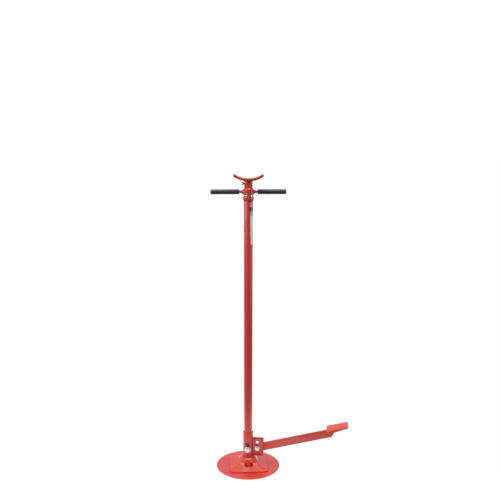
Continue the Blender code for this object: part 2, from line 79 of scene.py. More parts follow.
# Area lights: name, place, what it faces, width and height, watts, colour
LIGHTS = (
    ("key", (-2.5, -1.5, 2.2), (0, 0, 1.1), (2.4, 2.2), 58, (1, 1, 1)),
    ("rim", (2.6, 0.2, 1.4), (0, 0, 0.8), (1.6, 2.4), 16, (1, 1, 1)),
    ("top", (0.1, -0.4, 3.4), (0, 0, 0.6), (1.8, 1.8), 64, (1, 0.93, 0.84)),
)

# Pressed pedestal: a low pyramid with a squarish dome on it
HALF_WIDTH = 90 * MM
SHEET = 3.5 * MM
FOOT_Z = 8.9 * MM
FACE_SLOPE = 0.46
NECK_RADIUS = 25.57 * MM
DOME_HALF_WIDTH = 48 * MM
DOME_SQUARENESS = 4
DOME_FULLNESS = 1.5
DOME_FOOT_Z = 28 * MM
DOME_TOP = 52 * MM
# Where the oval opening in the +X face lies, its own Z pointing out through the sheet
OVAL_FRAME = Matrix.Translation((53 * MM, 0, 28.7 * MM)) @ Matrix.Rotation(radians(35), 4, "Y")
OVAL_HALF_HEIGHT = 15 * MM
OVAL_HALF_WIDTH = 20 * MM
NOTCH_WIDTH = 52 * MM
OVAL_SIDES = (1, 3)  # rear and front, counted in quarter turns from the pedal's side
OVAL_TOOL_REACH = 12 * MM  # how far an oval's cutter goes to each side of the sheet

PATH_SPACING = 0.6 * MM  # between the points of a weld's path

# Sizes that more than one piece shares; bores are radii
ARM_SLOT_HALF = 6.3 * MM
BEARING_BORE = 13.6 * MM
COLUMN_BORE = 17 * MM
SLEEVE_BORE = 19.7 * MM
SOCKET_RADIUS = 17.65 * MM
GRIP_START = 40 * MM
ROD_BORE = 5.8 * MM
WING_SCREW_PLACE = SADDLE_TURN @ Matrix.Translation((0, 0, 1327 * MM)) @ TO_LEFT


# ---- mesh tools

def finished_mesh(name, bm):
    mesh = bpy.data.meshes.new(name)
    bm.to_mesh(mesh)
    bm.free()
    return mesh


def put_in_scene(name, data):
    made = bpy.data.objects.new(name, data)
    bpy.context.scene.collection.objects.link(made)
    return made


def add_piece(name, bm, body, look, nodes=(), smooth=38):
    """Makes an object that rides on a body and hides the nodes it stands for.

    Edges that turn by more than the smooth angle, in degrees, show sharp.
    """
    bmesh.ops.recalc_face_normals(bm, faces=bm.faces)
    mesh = finished_mesh(name, bm)
    mesh.shade_smooth()
    mesh.set_sharp_from_angle(angle=radians(smooth))
    piece = put_in_scene(name, mesh)
    mesh.materials.append(look)
    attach(piece, body)
    if nodes:
        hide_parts(*nodes)


def rounded(corners, radius=0, steps=4):
    """A closed outline with an arc at each corner. A corner is (x, y), or (x, y, its own radius)."""
    nearly_straight = radians(88)  # half of the angle between a corner's two sides
    most_of_a_side = 0.49
    points = []
    count = len(corners)
    for index, corner in enumerate(corners):
        here = Vector(corner[:2])
        back = Vector(corners[index - 1][:2]) - here
        ahead = Vector(corners[(index + 1) % count][:2]) - here
        size = corner[2] if len(corner) > 2 else radius
        half = back.angle(ahead) / 2
        if size == 0 or half > nearly_straight:
            points.append(tuple(here))
            continue
        reach = min(size / tan(half), most_of_a_side * back.length, most_of_a_side * ahead.length)
        size = reach * tan(half)
        middle = here + (back.normalized() + ahead.normalized()).normalized() * (size / sin(half))
        start = here + back.normalized() * reach - middle
        end = here + ahead.normalized() * reach - middle
        sweep = start.angle_signed(end)
        for step in range(steps + 1):
            turned = start.copy()
            turned.rotate(Matrix.Rotation(-sweep * step / steps, 2))
            points.append(tuple(middle + turned))
    return points


def in_mm(*points):
    return [tuple(value * MM for value in point) for point in points]


def polar(radius, angle):
    return radius * cos(angle), radius * sin(angle)


def arc(centre, radius, start, end, steps):
    """Points on an arc, from one angle to another, as (x, y)."""
    points = []
    for step in range(steps + 1):
        x, y = polar(radius, start + (end - start) * step / steps)
        points.append((centre[0] + x, centre[1] + y))
    return points


def circle(centre, radius, steps=40):
    return arc(centre, radius, 0, 2 * pi, steps)[:-1]


def ring_vertices(bm, row, directions):
    """One ring of points. A row is (radius, height), or a function that gives them for an angle."""
    made = []
    for step in range(directions):
        angle = 2 * pi * step / directions
        radius, height = row(angle) if callable(row) else row
        made.append(bm.verts.new((*polar(radius, angle), height)))
    return made


def join_rings(bm, lower, upper):
    count = len(lower)
    for step in range(count):
        after = (step + 1) % count
        bm.faces.new((lower[step], lower[after], upper[after], upper[step]))


def close_ring(bm, ring, height):
    """Closes a ring with a fan of faces about a point on the axis."""
    middle = bm.verts.new((0, 0, height))
    for step, vertex in enumerate(ring):
        bm.faces.new((vertex, ring[(step + 1) % len(ring)], middle))


def turned_solid(rows, directions=96, hollow=True):
    """A skin through rings about Z: hollow ones close on themselves, others end on the axis."""
    bm = bmesh.new()
    rings = [ring_vertices(bm, row, directions) for row in rows]
    for lower, upper in zip(rings, rings[1:]):
        join_rings(bm, lower, upper)
    if hollow:
        join_rings(bm, rings[-1], rings[0])
    else:
        close_ring(bm, rings[0], rings[0][0].co.z)
        close_ring(bm, rings[-1], rings[-1][0].co.z)
    return bm


def tube(inner, outer, bottom, top, edge):
    """A round tube with its four edges rounded."""
    corners = [(inner, bottom), (outer, bottom), (outer, top), (inner, top)]
    return turned_solid(rounded(corners, edge), 128)


def peg(radius, start, end, directions=48):
    return turned_solid([(radius, start), (radius, end)], directions, hollow=False)


def threaded_rod(crest, root, pitch, bottom, top, foot=(), head=(), directions=48):
    """A rod with a helical thread. Foot and head are more rings, outwards from its two ends."""
    marks = ((0.0, root), (0.34, root), (0.5, crest), (0.84, crest))  # shares of one pitch, and radii
    fade = 0.9 * pitch  # the thread's depth grows and dies away over this length
    bm = bmesh.new()
    turns = ceil((top - bottom) / pitch) + 3
    rows = []
    for index in range(turns * len(marks)):
        share, radius = marks[index % len(marks)]
        row = []
        for step in range(directions):
            angle = 2 * pi * step / directions
            height = bottom + pitch * (index // len(marks) - 1 + share + step / directions)
            height = min(max(height, bottom), top)
            strength = min(1, (height - bottom) / fade, (top - height) / fade)
            reach = root + (radius - root) * strength
            row.append(bm.verts.new((*polar(reach, angle), height)))
        rows.append(row)
    for index, (lower, upper) in enumerate(zip(rows, rows[1:])):
        for step in range(directions - 1):
            bm.faces.new((lower[step], lower[step + 1], upper[step + 1], upper[step]))
        after = index + len(marks)
        if after + 1 < len(rows):
            bm.faces.new((lower[-1], rows[after][0], rows[after + 1][0], upper[-1]))
    for ring, extra in ((rows[0], foot), (rows[-1], head)):
        for row in extra:
            following = ring_vertices(bm, row, directions)
            join_rings(bm, ring, following)
            ring = following
        close_ring(bm, ring, ring[0].co.z)
    bmesh.ops.remove_doubles(bm, verts=bm.verts, dist=1e-6)
    return bm


def hexagon_row(flats, height, chamfer):
    """A hexagonal ring for a nut's curved chamfer: its corners fall back by a cone's slope.

    They fall back down if chamfer is 1, and up if it is -1.
    """
    inner = flats / 2
    slope = tan(radians(30))

    def row(angle):
        within = (angle + pi / 6) % (pi / 3) - pi / 6
        corner = inner / cos(within)
        drop = (corner - 0.97 * inner) * slope
        return corner, height - copysign(drop, chamfer)

    return row


def prism(outline, thickness, holes=()):
    """A plate in X and Y about the middle of its thickness, with openings."""
    bm = bmesh.new()
    for loop in (outline, *holes):
        corners = [bm.verts.new((x, y, -thickness / 2)) for x, y in loop]
        for index, corner in enumerate(corners):
            bm.edges.new((corner, corners[(index + 1) % len(corners)]))
    bmesh.ops.triangle_fill(bm, use_beauty=True, use_dissolve=False, edges=bm.edges)
    grown = bmesh.ops.extrude_face_region(bm, geom=bm.faces[:])
    upper = [item for item in grown["geom"] if isinstance(item, bmesh.types.BMVert)]
    bmesh.ops.translate(bm, verts=upper, vec=(0, 0, thickness))
    return bm


def round_edges(bm, width, segments=3):
    """Rounds the edges that turn by more than 40 degrees."""
    least = radians(40)
    bmesh.ops.recalc_face_normals(bm, faces=bm.faces)
    sharp = [edge for edge in bm.edges if edge.is_manifold and edge.calc_face_angle() > least]
    options = {"segments": segments, "profile": 0.5, "affect": "EDGES", "clamp_overlap": True}
    bmesh.ops.bevel(bm, geom=sharp, offset=width, **options)


def on_the_bench(bm):
    """A helper object that holds a mesh while modifiers work on it."""
    bmesh.ops.recalc_face_normals(bm, faces=bm.faces)
    return put_in_scene("helper", finished_mesh("helper", bm))


def off_the_bench(worked, *tools):
    """The mesh that a helper's modifiers made. The helper and its tools are removed."""
    bpy.context.view_layer.update()
    evaluated = worked.evaluated_get(bpy.context.evaluated_depsgraph_get())
    result = bmesh.new()
    result.from_mesh(evaluated.to_mesh())
    evaluated.to_mesh_clear()
    for helper in (worked, *tools):
        mesh = helper.data
        bpy.data.objects.remove(helper)
        bpy.data.meshes.remove(mesh)
    return result


def cut(bm, tool, operation="DIFFERENCE"):
    """Cuts one closed mesh by another, or joins them."""
    target, cutter = on_the_bench(bm), on_the_bench(tool)
    modifier = target.modifiers.new("cut", "BOOLEAN")
    modifier.operation = operation
    modifier.object = cutter
    return off_the_bench(target, cutter)


def moved(bm, matrix):
    bmesh.ops.transform(bm, matrix=matrix, verts=bm.verts)
    return bm


def box_tool(low, high):
    """A box between two corners, to cut with."""
    low, high = Vector(low), Vector(high)
    bm = bmesh.new()
    size = Matrix.Diagonal((*(high - low), 1))
    bmesh.ops.create_cube(bm, size=1, matrix=Matrix.Translation((low + high) / 2) @ size)
    return bm


def slot_outline(x, low, high, width):
    """An upright slot with round ends."""
    radius, steps = width / 2, 16
    lower = arc((x, low + radius), radius, pi, 2 * pi, steps)
    return lower + arc((x, high - radius), radius, 0, pi, steps)


def bead(path, radius, closed=False, ripple=2.4 * MM, sides=10, swells=(0.13, 0.12), lean=(0.31, 0.17, 0.94)):
    """A weld bead: a cord along a path of points, with the ripples and unevenness of a hand weld.

    Swells are the shares of its radius that the ripples and the unevenness take. Its sides are
    set out from the lean, which no path runs along.
    """
    count = len(path)
    lean = Vector(lean)
    rings = []
    run = 0.0
    bm = bmesh.new()
    for index, point in enumerate(path):
        before = path[index - 1] if closed or index > 0 else point
        after = path[(index + 1) % count] if closed or index < count - 1 else point
        along = (after - before).normalized()
        run += (point - before).length
        side = along.cross(lean).normalized()
        up = side.cross(along)
        rippled, uneven = cos(2 * pi * run / ripple), noise.noise(point * 160)
        swell = 1 + swells[0] * rippled + swells[1] * uneven
        if not closed:
            from_end = min(index, count - 1 - index) / 3
            swell *= min(1, 0.45 + 0.55 * from_end)
        row = []
        for step in range(sides):
            angle = 2 * pi * step / sides
            offset = side * cos(angle) + up * sin(angle)
            row.append(bm.verts.new(point + offset * radius * swell))
        rings.append(row)
    for lower, upper in zip(rings, rings[1:]):
        join_rings(bm, lower, upper)
    if closed:
        join_rings(bm, rings[-1], rings[0])
    else:
        bm.faces.new(rings[0])
        bm.faces.new(rings[-1])
    return bm


def ring_path(radius, height):
    count = round(2 * pi * radius / PATH_SPACING)
    return [Vector((x, y, height)) for x, y in circle((0, 0), radius, count)]


def line_path(start, end):
    start, end = Vector(start), Vector(end)
    count = round((end - start).length / PATH_SPACING)
    return [start.lerp(end, step / count) for step in range(count + 1)]


def gather(parts):
    """Puts several closed meshes into one."""
    whole = bmesh.new()
    for part in parts:
        mesh = finished_mesh("part", part)
        whole.from_mesh(mesh)
        bpy.data.meshes.remove(mesh)
    return whole


# ---- materials

SHADED_RED = (0.2, 0.01, 0.01)


class Look:
    """A material being built from nodes, with its Principled shader."""

    def __init__(self, name):
        self.material = bpy.data.materials.new(name)
        self.material.use_nodes = True
        self.tree = self.material.node_tree
        self.shader = self.tree.nodes["Principled BSDF"]
        self.place = self.node("TexCoord").outputs["Object"]

    def link(self, source, target):
        self.tree.links.new(source, target)

    def set(self, **values):
        for name, value in values.items():
            self.shader.inputs[name.replace("_", " ")].default_value = value

    def node(self, kind, **values):
        """A new node, with the values of some of its inputs."""
        made = self.tree.nodes.new("ShaderNode" + kind)
        for name, value in values.items():
            made.inputs[name.replace("_", " ")].default_value = value
        return made

    def noise(self, scale, detail, stretch=(1, 1, 1)):
        """Cloudy noise between 0 and 1. The scale is in waves per metre."""
        mapping = self.node("Mapping", Scale=stretch)
        self.link(self.place, mapping.inputs["Vector"])
        node = self.node("TexNoise", Scale=scale, Detail=detail, Roughness=0.5)
        self.link(mapping.outputs["Vector"], node.inputs["Vector"])
        return node.outputs["Fac"]

    def cells(self, scale):
        """Distance to the nearest of many scattered points."""
        node = self.node("TexVoronoi", Scale=scale)
        self.link(self.place, node.inputs["Vector"])
        return node.outputs["Distance"]

    def fit(self, value, low, high, start, end):
        """Takes low to start and high to end, and stops there."""
        node = self.node("MapRange", From_Min=low, From_Max=high, To_Min=start, To_Max=end)
        self.link(value, node.inputs["Value"])
        return node.outputs["Result"]

    def blend(self, factor, first, second):
        """Mixes two colours, each a tuple or a socket, by a socket."""
        node = self.node("Mix")
        node.data_type = "RGBA"
        sockets = [s for s in node.inputs if s.type == "RGBA"]
        for socket, colour in zip(sockets, (first, second)):
            if isinstance(colour, tuple):
                socket.default_value = (*colour, 1)
            else:
                self.link(colour, socket)
        self.link(factor, node.inputs[0])
        return next(s for s in node.outputs if s.type == "RGBA")

    def crevices(self, reach):
        """1 in the open and less where surfaces meet."""
        node = self.node("AmbientOcclusion", Distance=reach)
        node.samples = 6
        return node.outputs["AO"]

    def colour(self, factor, first, second):
        self.link(self.blend(factor, first, second), self.shader.inputs["Base Color"])

    def roughness(self, value, low, high):
        self.link(self.fit(value, 0.3, 0.7, low, high), self.shader.inputs["Roughness"])

    def bumps(self, *layers, edge=0.4 * MM):
        """Rounds the edges seen by light, then adds layers of (height socket, depth in metres)."""
        rounding = self.node("Bevel", Radius=edge)
        rounding.samples = 4
        normal = rounding.outputs["Normal"]
        for height, depth in layers:
            node = self.node("Bump", Distance=depth)
            self.link(height, node.inputs["Height"])
            self.link(normal, node.inputs["Normal"])
            normal = node.outputs["Normal"]
        self.link(normal, self.shader.inputs["Normal"])
        self.link(normal, self.shader.inputs["Coat Normal"])


def red_enamel(name="red_enamel", darkened_below=None, tone=1, coat=0.75):
    """Glossy sprayed enamel: slight orange peel and clouding, with painted shade in tight corners.

    Below a given height it turns dark red, for the part that slides in the sleeve.
    Tone scales its colour; the saddle's copy uses it to darken the enamel as painted shade. Coat is the
    strength of its clear gloss.
    """
    look = Look(name)
    cloud = look.noise(7, 3)
    light = (0.69 * tone, 0.050 * tone, 0.032 * tone)
    dark = (0.65 * tone, 0.043 * tone, 0.028 * tone)
    base = look.blend(look.fit(cloud, 0.35, 0.65, 0, 1), light, dark)
    if darkened_below is not None:
        height = look.node("SeparateXYZ")
        look.link(look.place, height.inputs[0])
        # below the given height the colour turns dark red
        darkened_share = look.fit(height.outputs["Z"], darkened_below - 3 * MM, darkened_below, 1, 0)
        base = look.blend(darkened_share, base, (0.10, 0.028, 0.024))
    # painted shade: the colour darkens towards SHADED_RED where surfaces meet
    shade = look.fit(look.crevices(3 * MM), 0.15, 0.8, 0.3, 0)
    look.colour(shade, base, SHADED_RED)
    look.roughness(look.noise(40, 3), 0.3, 0.4)
    look.set(Coat_Weight=coat, Coat_Roughness=0.1, Specular_IOR_Level=0.35)
    look.bumps((look.noise(160, 2), 0.012 * MM), (look.noise(900, 2), 0.003 * MM), edge=0.5 * MM)
    return look.material


def weld_enamel():
    """The same enamel over a weld: rougher and a little darker, with painted shade where it meets the parts.
    """
    look = Look("weld_enamel")
    base = look.blend(look.noise(90, 3), (0.66, 0.046, 0.030), (0.60, 0.038, 0.026))
    # painted shade: the colour darkens towards SHADED_RED where the weld meets the parts
    shade = look.fit(look.crevices(3 * MM), 0.1, 0.7, 0.4, 0)
    look.colour(shade, base, SHADED_RED)
    look.roughness(look.noise(200, 3), 0.34, 0.46)
    look.set(Coat_Weight=0.3, Coat_Roughness=0.16, Specular_IOR_Level=0.35)
    look.bumps((look.noise(700, 3), 0.07 * MM), edge=0.2 * MM)
    return look.material


def bright_zinc():
    look = Look("bright_zinc")
    tint = look.blend(look.noise(120, 3), (0.93, 0.97, 1.0), (0.86, 0.90, 0.95))
    stain = look.fit(look.noise(500, 4), 0.6, 0.75, 0, 0.25)
    look.colour(stain, tint, (0.70, 0.69, 0.66))
    look.roughness(look.noise(350, 3), 0.34, 0.5)
    look.set(Metallic=1.0)
    look.bumps((look.noise(1500, 3), 0.03 * MM), edge=0.3 * MM)
    return look.material


def bearing_steel():
    look = Look("bearing_steel")
    rings = look.noise(40, 4, stretch=(1, 1, 60))
    look.colour(rings, (0.82, 0.83, 0.84), (0.58, 0.59, 0.61))
    look.roughness(rings, 0.1, 0.24)
    look.set(Metallic=1.0)
    look.bumps((look.noise(60, 3, stretch=(1, 1, 70)), 0.012 * MM), edge=0.25 * MM)
    return look.material


def oiled_steel():
    """Rolled screw thread with a film of oil, coloured darker and browner in the thread roots."""
    look = Look("oiled_steel")
    cloud = look.noise(70, 4)
    base = look.blend(cloud, (0.50, 0.49, 0.47), (0.33, 0.32, 0.31))
    # the colour turns darker and browner where surfaces come close, in the thread roots
    root_darkening = look.fit(look.crevices(2.5 * MM), 0.3, 0.8, 0.8, 0)
    look.colour(root_darkening, base, (0.10, 0.08, 0.06))
    look.roughness(cloud, 0.2, 0.38)
    look.set(Metallic=1.0, Coat_Weight=0.3, Coat_Roughness=0.15)
    look.bumps((look.noise(700, 4), 0.03 * MM), edge=0.15 * MM)
    return look.material


def black_oxide():
    look = Look("black_oxide")
    look.colour(look.noise(260, 3), (0.10, 0.10, 0.105), (0.045, 0.045, 0.05))
    look.roughness(look.noise(400, 3), 0.32, 0.52)
    look.set(Metallic=0.85)
    look.bumps((look.noise(1200, 3), 0.04 * MM), edge=0.25 * MM)
    return look.material


def grip_foam():
    """Closed-cell foam: a fine pebbled skin with pores, slightly worn, with painted shade in the pores."""
    look = Look("grip_foam")
    wear = look.noise(45, 4)
    base = look.blend(wear, (0.018, 0.018, 0.019), (0.034, 0.034, 0.035))
    pores = look.fit(look.cells(900), 0.05, 0.3, 0, 1)
    # painted shade: the pores are coloured darker than the skin
    look.colour(pores, (0.010, 0.010, 0.011), base)
    look.roughness(wear, 0.44, 0.62)
    look.set(Sheen_Weight=0.15, Sheen_Roughness=0.5)
    look.bumps((pores, 0.06 * MM), (look.noise(2200, 2), 0.05 * MM), edge=0.5 * MM)
    return look.material


def label_vinyl():
    """A blank printed label: plain bands of colour from its top down, with a dark line painted along its side
    edges as their shadow.
    """
    look = Look("label_vinyl")
    up = look.node("Attribute")
    up.attribute_name = "label_up"
    across = look.node("Attribute")
    across.attribute_name = "label_across"
    ramp = look.node("ValToRGB")
    ramp.color_ramp.interpolation = "CONSTANT"
    bands = (  # the share of the height where each starts, and its colour
        (0.0, (0.02, 0.02, 0.022)),
        (0.02, (0.86, 0.86, 0.85)),
        (0.685, (0.75, 0.30, 0.10)),
        (0.72, (0.40, 0.46, 0.54)),
        (0.785, (0.022, 0.022, 0.026)),
        (0.875, (0.80, 0.27, 0.25)),
        (0.982, (0.03, 0.03, 0.03)),
    )
    elements = ramp.color_ramp.elements
    for index, (spot, colour) in enumerate(bands):
        element = elements[index] if index < 2 else elements.new(spot)
        element.position = spot
        element.color = (*colour, 1)
    look.link(up.outputs["Fac"], ramp.inputs["Fac"])
    print_grain = look.fit(look.noise(1400, 3), 0.4, 0.8, 0, 0.14)
    base = look.blend(print_grain, ramp.outputs["Color"], (0.45, 0.45, 0.45))
    edge = look.node("Math")
    edge.operation = "PINGPONG"  # 0 at both side edges of the label, 0.5 in its middle
    edge.inputs[1].default_value = 0.5
    look.link(across.outputs["Fac"], edge.inputs[0])
    # painted shadow: a dark line along both side edges of the label
    line = look.fit(edge.outputs["Value"], 0.018, 0.03, 0.85, 0)
    look.colour(line, base, (0.03, 0.03, 0.03))
    look.roughness(look.noise(200, 3), 0.22, 0.36)
    look.set(Coat_Weight=0.4, Coat_Roughness=0.1)
    look.bumps((look.noise(110, 2), 0.08 * MM), edge=0.1 * MM)
    return look.material


PAINT = red_enamel()
COLUMN_PAINT = red_enamel("red_enamel_column", darkened_below=150 * MM)
# the saddle's enamel: a darker copy that paints shade on it, with little clear gloss
SADDLE_PAINT_SHADED = red_enamel("red_enamel_saddle_shaded", tone=0.66, coat=0.1)
WELD = weld_enamel()
ZINC = bright_zinc()
STEEL = bearing_steel()
OILED = oiled_steel()
OXIDE = black_oxide()
FOAM = grip_foam()
VINYL = label_vinyl()


# ---- base

def middle_of(node):
    low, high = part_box(node)
    return (low + high) / 2


LIFT_BOLT = middle_of("lift_washer_front")
PIVOT = middle_of("pivot_washer_front")


def build_base_disc():
    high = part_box("base_plate")[1]
    inside, corner = 10 * MM, 1.9 * MM  # the two inside corners only help to round the other two
    outline = rounded([(inside, 0), (high.x, 0), (high.x, high.z), (inside, high.z)], corner, 6)
    rows = [point for point in outline if point[0] > inside + 1 * MM]
    disc = turned_solid(rows, 256, hollow=False)
    add_piece("base_disc", disc, "base", PAINT, ["base_plate"])


def squarish(half_width, squareness, angle):
    """How far a rounded square reaches from its centre in a direction."""
    spread = abs(cos(angle)) ** squareness + abs(sin(angle)) ** squareness
    return half_width / spread ** (1 / squareness)


def dome_reach(angle):
    return squarish(DOME_HALF_WIDTH, DOME_SQUARENESS, angle)


def pedestal_height(x, y):
    """The pedestal's top, with a fillet at the dome's foot and the ridges rounded by pressing."""
    radius, angle = hypot(x, y), atan2(y, x)
    ridge, fillet = 3.5 * MM, 6 * MM
    rounding = max(0, ridge - abs(abs(x) - abs(y))) ** 2 / (4 * ridge)
    pyramid = FOOT_Z + (HALF_WIDTH - max(abs(x), abs(y)) - rounding) * FACE_SLOPE
    share = (radius - NECK_RADIUS) / (dome_reach(angle) - NECK_RADIUS)
    dome = DOME_FOOT_Z + (DOME_TOP - DOME_FOOT_Z) * (1 - max(0, share) ** DOME_FULLNESS)
    return max(pyramid, dome) + max(0, fillet - abs(pyramid - dome)) ** 2 / (4 * fillet)


def build_pedestal():
    directions, dome_rings, face_rings = 240, 26, 22
    foot_squareness, crowding = 22, 1.5  # crowding sets the faces' rings closer near the dome
    bm = bmesh.new()
    rows = []
    for ring in range(dome_rings + face_rings + 1):
        row = []
        for step in range(directions):
            angle = 2 * pi * step / directions
            inner, foot = NECK_RADIUS, dome_reach(angle)
            outer = squarish(HALF_WIDTH, foot_squareness, angle)
            if ring <= dome_rings:
                radius = inner + (foot - inner) * ring / dome_rings
            else:
                radius = foot + (outer - foot) * ((ring - dome_rings) / face_rings) ** crowding
            x, y = polar(radius, angle)
            row.append(bm.verts.new((x, y, pedestal_height(x, y))))
        rows.append(row)
    for inner, outer in zip(rows, rows[1:]):
        join_rings(bm, inner, outer)
    bmesh.ops.recalc_face_normals(bm, faces=bm.faces)
    if sum(face.normal.z for face in bm.faces) < 0:
        bmesh.ops.reverse_faces(bm, faces=bm.faces)
    bm.normal_update()
    under = {}
    for vertex in list(bm.verts):
        under[vertex] = bm.verts.new(vertex.co - vertex.normal * SHEET)
    for face in list(bm.faces):
        bm.faces.new([under[vertex] for vertex in reversed(face.verts)])
    for row in (rows[0], rows[-1]):
        join_rings(bm, row, [under[vertex] for vertex in row])
    openings = []
    notch_reach = 9 * MM  # how far the notch's cutter goes to each side of the edge
    for side in range(4):
        spin = Matrix.Rotation(side * pi / 2, 4, "Z")
        low = (HALF_WIDTH - notch_reach, -NOTCH_WIDTH / 2, -1 * MM)
        high = (HALF_WIDTH + notch_reach, NOTCH_WIDTH / 2, FOOT_Z - 0.3 * MM)
        openings.append(moved(box_tool(low, high), spin))
        if side in OVAL_SIDES:
            oval = peg(1, -OVAL_TOOL_REACH, OVAL_TOOL_REACH, 72)
            moved(oval, Matrix.Diagonal((OVAL_HALF_HEIGHT, OVAL_HALF_WIDTH, 1, 1)))
            openings.append(moved(oval, spin @ OVAL_FRAME))
    sheet = cut(bm, gather(openings))
    moved(sheet, PEDESTAL_TURN)
    add_piece("pedestal_pressing", sheet, "base", PAINT, ["base_pedestal"], 50)


def build_pedestal_lips():
    """The rounded lip that pressing leaves around each opening, halfway through the sheet."""
    lips = []
    steps, halvings = 120, 30
    lip = SHEET / 2
    for side in OVAL_SIDES:
        path = []
        for step in range(steps):
            angle = 2 * pi * step / steps
            along = (OVAL_HALF_HEIGHT + lip) * cos(angle)
            across = (OVAL_HALF_WIDTH + lip) * sin(angle)
            low, high = -OVAL_TOOL_REACH, OVAL_TOOL_REACH
            for _ in range(halvings):
                middle = (low + high) / 2
                spot = OVAL_FRAME @ Vector((along, across, middle))
                if spot.z > pedestal_height(spot.x, spot.y) - lip:
                    high = middle
                else:
                    low = middle
            path.append(Matrix.Rotation(side * pi / 2, 3, "Z") @ spot)
        lips.append(bead(path, lip + 0.1 * MM, closed=True, sides=12, swells=(0, 0), lean=(0, 0, 1)))
    add_piece("pedestal_lips", moved(gather(lips), PEDESTAL_TURN), "base", PAINT)


def arm_window(near, bottom, top):
    """A cutter for the opening on the pedal's side that the arm passes through."""
    return box_tool((near, -ARM_SLOT_HALF, bottom), (30 * MM, ARM_SLOT_HALF, top))


def build_sleeve():
    low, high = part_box("base_sleeve")
    shell = tube(SLEEVE_BORE, high.x, low.z, high.z, 0.9 * MM)
    slot_width, slot_top = 17 * MM, 131 * MM
    outline = slot_outline(0, LIFT_BOLT.z - slot_width / 2, slot_top, slot_width)
    shell = cut(shell, moved(prism(outline, 80 * MM), UPRIGHT))
    shell = cut(shell, arm_window(10 * MM, 67 * MM, 125 * MM))
    add_piece("sleeve_tube", shell, "base", PAINT, ["base_sleeve"])


def build_brackets():
    inner, outer = 0.5 * MM, 3 * MM  # the radii of the corners
    slot_bottom, slot_top, slot_width = 91.5 * MM, 136.5 * MM, 14.5 * MM
    for word in ("front", "rear"):
        low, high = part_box(f"bracket_{word}")
        corners = [(low.x, low.z, inner), (high.x, low.z, outer)]
        corners += [(high.x, high.z, outer), (low.x, high.z, inner)]
        slot = slot_outline(PIVOT.x, slot_bottom, slot_top, slot_width)
        plate = prism(rounded(corners, steps=6), high.y - low.y, [slot])
        round_edges(plate, 0.7 * MM)
        moved(plate, Matrix.Translation((0, (low.y + high.y) / 2, 0)) @ UPRIGHT)
        add_piece(f"bracket_plate_{word}", plate, "base", PAINT, [f"bracket_{word}"])


def build_washer(node, body, bore):
    """A stamped washer: one edge rounded by the punch, the other nearly square."""
    low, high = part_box(node)
    half, radius = (high.y - low.y) / 2, (high.x - low.x) / 2
    bow = 0.25 * MM
    corners = [(bore, -half, 0.2 * MM), (radius, -half + bow, 0.2 * MM)]
    corners += [(radius, half, 0.9 * MM), (bore, half, 0.3 * MM)]
    facing = UPRIGHT if "front" in node else TO_REAR
    shape = moved(turned_solid(rounded(corners)), Matrix.Translation((low + high) / 2) @ facing)
    add_piece(f"{node}_zinc", shape, body, ZINC, [node])


def build_bolt(name, body, shank, flats, head, pitch, thread_from):
    """A hexagon bolt along Y, its head at the front and its thread coming out of a nut at the rear."""
    low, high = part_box(f"{name}_bolt")
    centre = Vector(((low.x + high.x) / 2, 0, (low.z + high.z) / 2))
    head_top = -low.y
    head_start = head_top - head
    washer_face = head_start - 0.4 * MM
    root = shank - 0.55 * pitch
    inner = flats / 2
    thread_end = -high.y + 1 * MM
    head_rows = [
        (shank - 0.2 * MM, -thread_from),
        (shank, -thread_from + 0.4 * MM),
        (shank, washer_face),
        (0.96 * inner, washer_face),
        (0.96 * inner, head_start),
        hexagon_row(flats, head_start + 0.3 * MM, -1),
        hexagon_row(flats, head_top - 0.2 * MM, 1),
        (0.93 * inner, head_top),
        (0.78 * inner, head_top - 0.1 * MM),
        (0.74 * inner, head_top - 0.5 * MM),
    ]
    end_rows = [(root - 0.4 * MM, thread_end - 1 * MM)]
    bm = threaded_rod(shank, root, pitch, thread_end, -thread_from, end_rows, head_rows, 96)
    moved(bm, Matrix.Translation(centre) @ UPRIGHT)
    add_piece(f"{name}_bolt_zinc", bm, body, ZINC, [f"{name}_bolt"])


def build_nut(node, body, flats, bore, along_y=True):
    low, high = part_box(node)
    half = ((high.y - low.y) if along_y else (high.z - low.z)) / 2
    face, countersink, chamfer = 0.95 * flats / 2, 0.9 * MM, 0.2 * MM
    rows = [
        (bore, -half + countersink),
        (bore + countersink, -half),
        (face, -half),
        hexagon_row(flats, -half + chamfer, -1),
        hexagon_row(flats, half - chamfer, 1),
        (face, half),
        (bore + countersink, half),
        (bore, half - countersink),
    ]
    place = Matrix.Translation((low + high) / 2) @ (UPRIGHT if along_y else Matrix.Identity(4))
    add_piece(f"{node}_zinc", moved(turned_solid(rows), place), body, ZINC, [node])


def build_base_welds():
    sleeve_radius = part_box("base_sleeve")[1].x
    ring = bead(ring_path(sleeve_radius + 1.2 * MM, DOME_TOP + 0.4 * MM), 2.2 * MM, closed=True)
    add_piece("weld_sleeve_foot", ring, "base", WELD)
    seam_radius = 1.9 * MM
    for word, side in (("front", -1), ("rear", 1)):
        low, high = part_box(f"bracket_{word}")
        outer = low.y if side < 0 else high.y
        x = sqrt(sleeve_radius ** 2 - outer ** 2) + 1 * MM
        y = outer + side * 0.5 * MM
        seam = bead(line_path((x, y, low.z + 4 * MM), (x, y, high.z - 3 * MM)), seam_radius)
        add_piece(f"weld_bracket_{word}", seam, "base", WELD)
    seams = []
    out, up = HALF_WIDTH + 0.4 * MM, 6.2 * MM
    near, far = 38 * MM, 76 * MM  # each side has two seams, with the notch between them
    for side in range(4):
        spin = Matrix.Rotation(side * pi / 2, 3, "Z")
        for hand in (-1, 1):
            start, end = (spin @ Vector((out, hand * across, up)) for across in (near, far))
            seams.append(bead(line_path(start, end), seam_radius))
    add_piece("weld_pedestal_foot", moved(gather(seams), PEDESTAL_TURN), "base", WELD)


# ---- pedal

